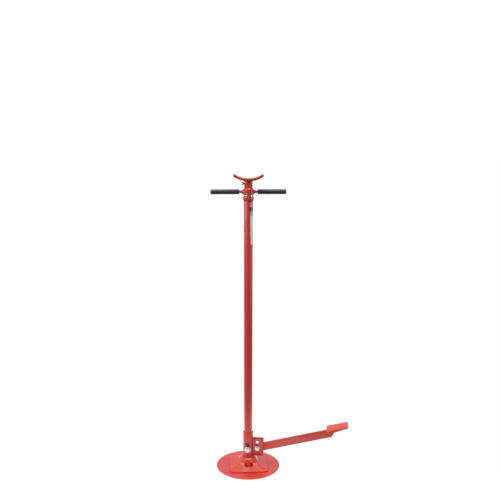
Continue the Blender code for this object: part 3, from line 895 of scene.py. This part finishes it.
def build_pedal():
    """The arm and the foot plate, drawn with x out along the arm and y across it upwards."""
    incline = Matrix.Rotation(-PEDAL_INCLINE, 4, "Y")
    place = Matrix.Translation((PIVOT.x, 0, PIVOT.z)) @ incline @ UPRIGHT
    top, bottom, cradle = 18.5 * MM, -20 * MM, -12.32 * MM  # the cradle lifts the lift bolt
    inner_end, cradle_end, outer_end = -54 * MM, -33 * MM, 417 * MM
    corners = [
        (inner_end, bottom, 2 * MM),
        (361 * MM, bottom, 3 * MM),
        (377 * MM, top - 19.5 * MM, 3 * MM),
        (outer_end, top - 15 * MM, 4 * MM),
        (outer_end, top, 0),
        (cradle_end, top, 2 * MM),
        (cradle_end, cradle, 2 * MM),
        (inner_end, cradle, 1.5 * MM),
    ]
    arm = prism(rounded(corners, steps=5), 10 * MM, [circle((0, 0), 6.3 * MM)])
    round_edges(arm, 0.9 * MM)
    add_piece("pedal_bar", moved(arm, place), "pedal", PAINT, ["pedal_arm"])

    start, end, half, corner, thickness = 347 * MM, 448 * MM, 37 * MM, 7 * MM, 5 * MM
    corners = [(start, -half), (end, -half), (end, half), (start, half)]
    plate = prism(rounded(corners, corner, 8), thickness)
    round_edges(plate, 1.1 * MM)
    lift = Matrix.Translation((0, top + 0.3 * MM + thickness / 2, 0))
    moved(plate, place @ lift @ UPRIGHT.inverted())
    add_piece("pedal_tread", plate, "pedal", PAINT, ["pedal_plate"])

    seams = []
    up = top - 1 * MM
    for across in (-5.8 * MM, 5.8 * MM):
        path = line_path((start + 4 * MM, up, across), (outer_end - 6 * MM, up, across))
        seams.append(bead(path, 2 * MM))
    add_piece("weld_pedal_tread", moved(gather(seams), place), "pedal", WELD)


# ---- column

def build_column():
    foot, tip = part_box("column_tube")
    shell = tube(COLUMN_BORE, tip.x, foot.z, tip.z, 0.5 * MM)
    shell = cut(shell, arm_window(8 * MM, foot.z - 10 * MM, 116 * MM))
    hole = prism(circle((0, LIFT_BOLT.z), 8.3 * MM), 60 * MM)
    shell = cut(shell, moved(hole, UPRIGHT))
    add_piece("column_pipe", shell, "column", COLUMN_PAINT, ["column_tube"])

    low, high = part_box("column_collar")
    bore, skirt, shoulder = 13.2 * MM, tip.x + 0.3 * MM, tip.z + 0.3 * MM
    corners = [
        (skirt, low.z, 0.1 * MM),
        (tip.x + 1 * MM, low.z, 0.3 * MM),
        (high.x, low.z + 7 * MM, 2 * MM),
        (high.x, high.z, 1.2 * MM),
        (bore, high.z, 0.5 * MM),
        (bore, shoulder, 0.3 * MM),
        (skirt, shoulder, 0.2 * MM),
    ]
    collar = turned_solid(rounded(corners), 128)
    add_piece("collar_turned", collar, "column", PAINT, ["column_collar"])
    seam = bead(ring_path(tip.x + 0.1 * MM, low.z), 1.1 * MM, closed=True, ripple=2 * MM)
    add_piece("weld_collar", seam, "column", WELD)

    low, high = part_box("bearing_lower_race")
    race = tube(BEARING_BORE, high.x, low.z, high.z, 0.4 * MM)
    add_piece("bearing_race_lower", race, "column", STEEL, ["bearing_lower_race"])


def build_label():
    """A blank label of thin vinyl, wrapped a little askew round the column's right side."""
    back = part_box("column_tube")[1].x + 0.05 * MM
    bottom, top, film = 1066 * MM, 1254 * MM, 0.18 * MM
    facing_camera = radians(-83.5)
    start_top, start_bottom = facing_camera + radians(13), facing_camera + radians(28)
    width = radians(165)
    columns = rows = 60
    bm = bmesh.new()
    up_layer = bm.verts.layers.float.new("label_up")
    across_layer = bm.verts.layers.float.new("label_across")
    layers = []
    for reach in (back, back + film):
        grid = []
        for row in range(rows + 1):
            up = row / rows
            start = start_bottom + (start_top - start_bottom) * up
            line = []
            for column in range(columns + 1):
                across = column / columns
                angle = start + width * across
                ripple = 0.03 * MM * noise.noise(Vector((5 * across, 12 * up, 3)))
                spot = (reach + ripple) * Vector((*polar(1, angle), 0))
                spot.z = bottom + (top - bottom) * up
                vertex = bm.verts.new(spot)
                vertex[up_layer] = up
                vertex[across_layer] = across
                line.append(vertex)
            grid.append(line)
        layers.append(grid)
    for grid in layers:
        for lower, upper in zip(grid, grid[1:]):
            for step in range(columns):
                bm.faces.new((lower[step], lower[step + 1], upper[step + 1], upper[step]))
    borders = []
    for grid in layers:
        left = [line[0] for line in grid]
        right = [line[-1] for line in grid]
        borders.append(grid[0] + right[1:] + grid[-1][-2::-1] + left[-2:0:-1])
    join_rings(bm, *borders)
    add_piece("column_label", bm, "column", VINYL)


# ---- spin handle

def build_handle():
    low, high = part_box("bearing_upper_race")
    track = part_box("bearing_ball_01")[1].z + 0.3 * MM
    skirt = high.x - 1.3 * MM
    corners = [(BEARING_BORE, track), (skirt, track), (skirt, low.z)]
    corners += [(high.x, low.z), (high.x, high.z), (BEARING_BORE, high.z)]
    race = turned_solid(rounded(corners, 0.45 * MM), 128)
    add_piece("bearing_race_upper", race, "handle", STEEL, ["bearing_upper_race"])

    low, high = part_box("spin_hub")
    radius, bore = 21.8 * MM, 12.9 * MM
    corners = [
        (bore, low.z, 0.8 * MM),
        (radius, low.z, 1.2 * MM),
        (radius, high.z - 7 * MM, 1.8 * MM),
        (SOCKET_RADIUS, high.z, 0.9 * MM),
        (bore, high.z, 0.8 * MM),
    ]
    hub = turned_solid(rounded(corners), 96)
    rod_z, rod_radius, rod_start, boss_end = 1293 * MM, 5.5 * MM, 20 * MM, 28.5 * MM
    boss_rows = [(11.4 * MM, 18.2 * MM), (6.8 * MM, boss_end - 0.6 * MM), (6.4 * MM, boss_end)]
    for hand, word in ((1, "right"), (-1, "left")):
        turn = HANDLE_TURN @ Matrix.Translation((0, 0, rod_z)) @ Matrix.Rotation(hand * pi / 2, 4, "Y")
        hub = cut(hub, moved(turned_solid(boss_rows, 64, hollow=False), turn), "UNION")
        hub = cut(hub, moved(peg(ROD_BORE, rod_start - 0.3 * MM, GRIP_START), turn))
        grip_tip = abs(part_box(f"grip_{word}")[0 if hand < 0 else 1].x)
        rod_end = grip_tip / cos(HANDLE_ANGLE) - 6 * MM
        rod = moved(peg(rod_radius, rod_start, rod_end), turn)
        add_piece(f"handle_rod_{word}_painted", rod, "handle", PAINT, [f"handle_rod_{word}"])
        seam = moved(bead(ring_path(rod_radius + 0.2 * MM, boss_end), 0.9 * MM, closed=True), turn)
        add_piece(f"weld_rod_{word}", seam, "handle", WELD)
        add_grip(word, turn)
    add_piece("hub_casting", cast_skin(hub), "handle", PAINT, ["spin_hub"], 60)


def cast_skin(bm):
    """Remeshes a joined shape and relaxes it, so that its inner corners get a casting's fillets."""
    helper = on_the_bench(bm)
    remesh = helper.modifiers.new("remesh", "REMESH")
    remesh.mode = "VOXEL"
    remesh.voxel_size = 0.5 * MM
    relax = helper.modifiers.new("relax", "SMOOTH")
    relax.factor = 0.5
    relax.iterations = 7
    result = off_the_bench(helper)
    for vertex in result.verts:
        vertex.co += vertex.normal * 0.05 * MM * noise.noise(vertex.co * 220)
    return result


def add_grip(word, turn):
    """A foam grip with soft ends and an uneven skin."""
    radius, bore, start, end, cap = 10.2 * MM, ROD_BORE, GRIP_START, 161 * MM, 3 * MM
    soft_start, soft_end = 2.2 * MM, 3.2 * MM
    steps, arc_steps = 90, 8
    rows = [(bore, end - cap), (bore, start + 0.5 * MM), (bore + 0.5 * MM, start)]
    rows += arc((radius - soft_start, start + soft_start), soft_start, -pi / 2, 0, arc_steps)
    for step in range(1, steps):
        height = start + soft_start + (end - start - soft_start - soft_end) * step / steps
        rows.append((radius, height))
    rows += arc((radius - soft_end, end - soft_end), soft_end, 0, pi / 2, arc_steps)
    rows.append((3 * MM, end))
    grip = turned_solid(rows, 64, hollow=False)
    for vertex in grip.verts:
        reach = hypot(vertex.co.x, vertex.co.y)
        if reach > bore + 1 * MM:
            swell = 0.16 * noise.noise(vertex.co * 35) + 0.07 * noise.noise(vertex.co * 260) - 0.12
            vertex.co.x *= 1 + swell * MM / reach
            vertex.co.y *= 1 + swell * MM / reach
    add_piece(f"grip_{word}_foam", moved(grip, turn), "handle", FOAM, [f"grip_{word}"], 60)


# ---- screw and saddle

def build_screw():
    low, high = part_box("lift_screw")
    root, pitch, stub = high.x - 2.4 * MM, 5 * MM, 8 * MM
    thread_start, thread_end = 588 * MM, high.z - 1 * MM
    foot = [(stub, thread_start), (stub, low.z + 1 * MM), (stub - 1 * MM, low.z)]
    head = [(root, high.z - 0.6 * MM), (root - 0.6 * MM, high.z)]
    screw = threaded_rod(high.x, root, pitch, thread_start, thread_end, foot, head)
    add_piece("screw_threaded", screw, "screw", OILED, ["lift_screw"], 30)


def build_saddle():
    low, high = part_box("saddle_socket")
    socket = tube(13 * MM, SOCKET_RADIUS, low.z, high.z, 0.7 * MM)
    socket = cut(socket, moved(peg(3.3 * MM, 9 * MM, 30 * MM, 32), WING_SCREW_PLACE))
    add_piece("saddle_tube", socket, "saddle", PAINT, ["saddle_socket"])
    seam = bead(ring_path(SOCKET_RADIUS + 0.6 * MM, high.z - 0.3 * MM), 1.8 * MM, closed=True)
    add_piece("weld_saddle", seam, "saddle", WELD)

    width, thickness, flat, reach, radius = 50 * MM, 9 * MM, 5 * MM, 60.4 * MM, 94 * MM
    centre = high.z + 8.3 * MM + radius
    down, sweep = 1.5 * pi, asin((reach - flat) / radius)
    outer, steps = radius + thickness, 24
    outline = arc((-flat, centre), outer, down - sweep, down, steps)
    outline += arc((flat, centre), outer, down, down + sweep, steps)
    outline += arc((flat, centre), radius, down + sweep, down, steps)
    outline += arc((-flat, centre), radius, down, down - sweep, steps)
    plate = prism(outline, width)
    round_edges(plate, 1.1 * MM, 4)
    moved(plate, SADDLE_TURN @ UPRIGHT)
    add_piece("saddle_cradle", plate, "saddle", SADDLE_PAINT_SHADED, ["saddle_plate"])


def build_wing_screw():
    """A black wing screw: threaded shank, round boss and two upswept wings."""
    boss = in_mm((4.6, 19.2), (4.8, 20), (4.3, 23.5), (3.2, 24.8))
    body = turned_solid(boss, 48, hollow=False)
    # One wing: to its side, out from the stand's axis, and the corner's radius
    half = in_mm((1.6, 19.8, 0), (3.4, 20, 1), (6, 24.5, 2.5))
    half += in_mm((6, 29.6, 1.4), (3.8, 29.6, 1), (2.2, 24.6, 1.2))
    other = [(-x, y, corner) for x, y, corner in reversed(half)]
    wings = prism(rounded(half + other, steps=5), 2.4 * MM)
    round_edges(wings, 0.7 * MM)
    body = cut(body, moved(wings, UPRIGHT), "UNION")
    crest, root, pitch, start, end = 3 * MM, 2.4 * MM, 1 * MM, 12.9 * MM, 22 * MM
    body = cut(body, threaded_rod(crest, root, pitch, start, end, directions=32), "UNION")
    moved(body, WING_SCREW_PLACE)
    add_piece("wing_screw_black", body, "wing_screw", OXIDE, ["wing_screw"], 50)


def finish_kept_nodes():
    """Nodes whose CAD shape is shown as it is get their procedural materials."""
    looks = {"bearing_cage": STEEL, "screw_guide": OXIDE}
    for name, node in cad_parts.items():
        if name.startswith("bearing_ball"):
            looks[name] = STEEL
            fine = node.modifiers.new("fine", "SUBSURF")
            fine.levels = fine.render_levels = 2
    for name, look in looks.items():
        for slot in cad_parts[name].material_slots:
            slot.material = look


# ---- stage

WHITE = (1, 1, 1, 1)


def camera_only(tree, seen, unseen, output):
    """Shows one shader to the camera and another to every other ray."""
    mix = tree.nodes.new("ShaderNodeMixShader")
    ray = tree.nodes.new("ShaderNodeLightPath").outputs["Is Camera Ray"]
    for socket, source in zip(mix.inputs, (ray, unseen, seen)):
        tree.links.new(source, socket)
    tree.links.new(mix.outputs[0], output)


def build_floor():
    """A plain white floor that runs out of sight. Reflections see it bright near the stand only."""
    look = Look("floor_white")
    look.colour(look.noise(3, 2), (0.012, 0.012, 0.012), (0.01, 0.01, 0.01))
    look.set(Roughness=0.9, Specular_IOR_Level=0.0, Emission_Color=WHITE, Emission_Strength=0.99)
    distance = look.node("VectorMath")
    distance.operation = "LENGTH"
    look.link(look.place, distance.inputs[0])
    glow = look.node("Emission")
    limits = (FLOOR_NEAR_RADIUS, FLOOR_FAR_RADIUS, FLOOR_NEAR, FLOOR_FAR)
    look.link(look.fit(distance.outputs["Value"], *limits), glow.inputs["Strength"])
    output = look.tree.nodes["Material Output"].inputs["Surface"]
    camera_only(look.tree, look.shader.outputs[0], glow.outputs[0], output)
    bm = bmesh.new()
    bmesh.ops.create_circle(bm, cap_ends=True, segments=96, radius=40)
    floor = put_in_scene("floor", finished_mesh("floor", bm))
    floor.location.z = -0.5 * MM  # so that it doesn't coincide with the base's underside
    floor.data.materials.append(look.material)


def build_world():
    """White all round, dimmer on the camera's side, and pure white where the camera sees it."""
    world = bpy.data.worlds.new("studio")
    bpy.context.scene.world = world
    world.use_nodes = True
    tree = world.node_tree
    unseen = tree.nodes["Background"]
    unseen.inputs["Color"].default_value = WHITE
    direction = tree.nodes.new("ShaderNodeTexCoord").outputs["Generated"]
    facing = tree.nodes.new("ShaderNodeVectorMath")
    facing.operation = "DOT_PRODUCT"
    facing.inputs[1].default_value = (CAMERA_PLACE - Vector((0.3, 0, 0.9))).normalized()
    tree.links.new(direction, facing.inputs[0])
    shade = tree.nodes.new("ShaderNodeMapRange")
    shade.interpolation_type = "SMOOTHSTEP"
    for name, value in (("From Max", 0.9), ("To Min", SKY_SIDES), ("To Max", SKY_FRONT)):
        shade.inputs[name].default_value = value
    tree.links.new(facing.outputs["Value"], shade.inputs["Value"])
    tree.links.new(shade.outputs["Result"], unseen.inputs["Strength"])
    seen = tree.nodes.new("ShaderNodeBackground")
    seen.inputs["Color"].default_value = WHITE
    output = tree.nodes["World Output"].inputs["Surface"]
    camera_only(tree, seen.outputs[0], unseen.outputs[0], output)


def add_light(name, place, target, size, power, colour):
    data = bpy.data.lights.new(name, "AREA")
    data.shape = "RECTANGLE"
    data.size, data.size_y = size
    data.energy = power
    data.color = colour
    light = put_in_scene(name, data)
    light.location = place
    light.rotation_euler = (Vector(target) - Vector(place)).to_track_quat("-Z", "Y").to_euler()


def build_stage():
    data = bpy.data.cameras.new("camera")
    data.sensor_width = 36
    data.lens = CAMERA_LENS
    data.shift_x, data.shift_y = CAMERA_SHIFT
    camera = put_in_scene("camera", data)
    view = Matrix.Rotation(CAMERA_TURN, 4, "Z") @ Matrix.Rotation(CAMERA_TILT, 4, "X")
    roll = Matrix.Rotation(CAMERA_ROLL, 4, "Z")
    camera.matrix_world = Matrix.Translation(CAMERA_PLACE) @ view @ roll
    bpy.context.scene.camera = camera
    bpy.context.scene.view_settings.view_transform = "Standard"
    build_floor()
    build_world()
    for light in LIGHTS:
        add_light(*light)
    for side in (-1, 1):  # two faint lights inside the pedestal, one behind each oval opening
        place = PEDESTAL_TURN @ Vector((0, side * 66 * MM, 13 * MM))
        target = (0, side * 24 * MM, 20 * MM)
        add_light(f"inside_{side}", place, target, (0.05, 0.006), 0.012, (1, 1, 1))


build_base_disc()
build_pedestal()
build_pedestal_lips()
build_sleeve()
build_brackets()
build_bolt("pivot", "base", shank=6 * MM, flats=18 * MM, head=7.5 * MM, pitch=1.75 * MM, thread_from=10 * MM)
build_nut("pivot_nut", "base", flats=18 * MM, bore=6.3 * MM)
build_bolt("lift", "column", shank=8 * MM, flats=24 * MM, head=10 * MM, pitch=2 * MM, thread_from=22 * MM)
build_nut("lift_nut", "column", flats=24 * MM, bore=8.3 * MM)
build_nut("screw_guide_nut", "screw", flats=24 * MM, bore=8.3 * MM, along_y=False)
for end_name in ("front", "rear"):
    build_washer(f"pivot_washer_{end_name}", "base", bore=6.4 * MM)
    build_washer(f"lift_washer_{end_name}", "column", bore=8.4 * MM)
build_base_welds()
build_pedal()
build_column()
build_label()
build_handle()
build_screw()
build_saddle()
build_wing_screw()
finish_kept_nodes()
build_stage()
